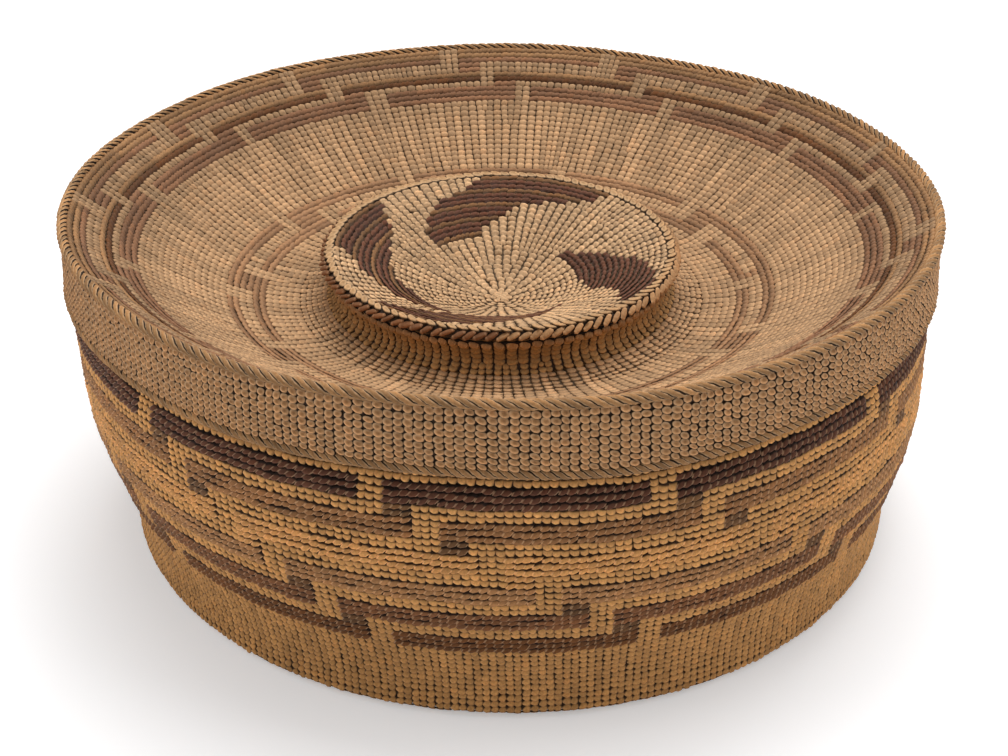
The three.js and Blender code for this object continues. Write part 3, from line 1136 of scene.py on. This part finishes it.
add_cord("corner_ridge", CORNER_CORD, 0.61, 0.48, 0.54, 66, "lid", "lid_corner_cord", 5, 4)
add_cord("hem", HEM_CORD, 0.58, 0.48, 0.54, 81, "lid", "lid_hem_cord", 6, 4)
bowl_start = crossed_strands("bowl_start", BOWL_RIM[1] - BOWL_DEPTH + 0.55)
add_piece(bowl_start, ROOT_BOWL, "lid", "knob_bowl")

# The knob's edge: a row of stitches slants over it, and a row below slants back, dyed dark on one side.
edge_rows = [
    Row(36.15, 56.85, 0.10, 0.995, 0.995, -0.10, 1.40),
    Row(37.25, 56.20, 0.80, 0.60, 0.60, -0.80, 1.25),
]
edge_names = np.arange(NECK_WARPS)
edge_laid = [(edge_names * FULL_TURN / NECK_WARPS + shift, edge_names) for shift in (0.03, 0.015)]
edge_dyes = plain_dyes(edge_rows, edge_laid)
edge_dyes[1] = np.where(within(np.degrees(edge_laid[1][0]), 80, 188), BROWN, AMBER)
edge_weave = weave_sheet(edge_rows, edge_laid, edge_dyes, rng)
edge_stitches = sew("knob_edge_stitches", edge_weave, RIM, BRAID, seed=7)
add_piece(edge_stitches, ROOT_EDGE, "lid", "knob_edge_cord")
# The edge's heart is dark as painted shade between its stitches.
edge_heart = cord_heart("knob_edge_heart", (36.2, 55.95), 1.0)
add_piece(edge_heart, SHADE_CORE, "lid", "knob_edge_cord")

# The rattle

floor_rows = rows_along(curve_through(CHAMBER_FLOOR_LINE)[::-1], CHAMBER_FLOOR_PITCH)
floor_laid = spread_warps([warps_needed(row, DISC_ROOM) for row in floor_rows][::-1], rng)[::-1]
floor_weave = weave_sheet(floor_rows, floor_laid, plain_dyes(floor_rows, floor_laid), rng)
floor_place = ("lid", "chamber_floor", "root_inner")
add_sheet("chamber_floor", floor_weave, INNER, ROOT_INSIDE, *floor_place, 600, bead=(4, 3), inner=None)
add_cord("lashing", LASHING, 0.3, 0.32, 0.36, 60, "lid", "chamber_lashing", 8)


def add_pebble(index):
    """A worn pebble: a ball pressed out of round by a few soft dents."""
    node = f"pebble_{index + 1}"
    low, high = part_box(node)
    middle, half = (low + high) / 2, (high - low) / 2
    bm = bmesh.new()
    bmesh.ops.create_icosphere(bm, subdivisions=4, radius=1)
    mesh = finish_mesh(bm, node + "_stone")
    points = points_of(mesh)
    soft = np.random.default_rng(700 + index)
    for _ in range(5):
        way = soft.normal(size=3)
        way /= np.linalg.norm(way)
        press = np.clip(points @ way, 0, 1) ** 3
        points -= way * press[:, None] * soft.uniform(0.05, 0.18)
    place_points(mesh, (points * np.array(half) + np.array(middle)) / MM)
    body = "pebble_" + "abcdefgh"[index]
    add_piece(mesh, PEBBLE, body, node)


for index in range(8):
    add_pebble(index)


# Stage, light and camera


def add_stage():
    """A pale floor, which shines to the camera far from the basket, so that it has no horizon."""
    bm = bmesh.new()
    bmesh.ops.create_grid(bm, x_segments=1, y_segments=1, size=6)
    mesh = finish_mesh(bm, "floor")
    floor = add_object("floor", mesh)
    floor.location.z = -0.0002
    material, tree, shader = new_material("pale_floor")
    seen = add_node(tree, "ShaderNodeLightPath").outputs["Is Camera Ray"]
    glow = spread_range(tree, length_of(tree, place_in_object(tree)), 0.5, 2.5, 0.32, 1.0)
    shine = maths(tree, "MULTIPLY", seen, glow)
    set_inputs(shader, {"Base Color": (0.88, 0.88, 0.89, 1), "Roughness": 0.9, "Specular IOR Level": 0.0})
    set_inputs(shader, {"Emission Color": (1, 1, 1, 1), "Emission Strength": shine})
    mesh.materials.append(material)


def add_light(name, place, power):
    """A soft square lamp that points at the middle of the basket."""
    lamp = bpy.data.lights.new(name, "AREA")
    lamp.shape = "SQUARE"
    lamp.size = 0.6
    lamp.energy = power
    light = add_object(name, lamp)
    light.location = place
    way = Vector((0, 0, 0.04)) - Vector(place)
    light.rotation_euler = way.to_track_quat("-Z", "Y").to_euler()


def add_world():
    """Plain light from all round, white where it is seen."""
    world = bpy.data.worlds.new("studio")
    bpy.context.scene.world = world
    world.use_nodes = True
    tree = world.node_tree
    ground = tree.nodes["Background"]
    paths = add_node(tree, "ShaderNodeLightPath").outputs
    seen = maths(tree, "MAXIMUM", paths["Is Camera Ray"], paths["Is Glossy Ray"])
    seen = maths(tree, "MAXIMUM", seen, paths["Is Transmission Ray"])
    set_inputs(ground, {"Strength": spread_range(tree, seen, 0, 1, 0.44, 1.0), "Color": (1, 1, 1, 1)})


def add_camera():
    """The photograph's view."""
    camera = add_object("camera", bpy.data.cameras.new("camera"))
    camera.data.sensor_width = 36
    camera.data.lens = 57.86
    camera.location = (0, -0.3123, 0.2051)
    camera.rotation_euler = (math.radians(90 - 29.97), 0, 0)
    bpy.context.scene.camera = camera


add_stage()
add_world()
add_light("overhead", (0.08, 0.22, 0.9), 6.3)
add_light("left", (-0.9, 0.0, 0.45), 1.6)
add_light("right", (0.75, -0.05, 0.65), 1.1)
add_camera()
bpy.context.scene.view_settings.view_transform = "Standard"
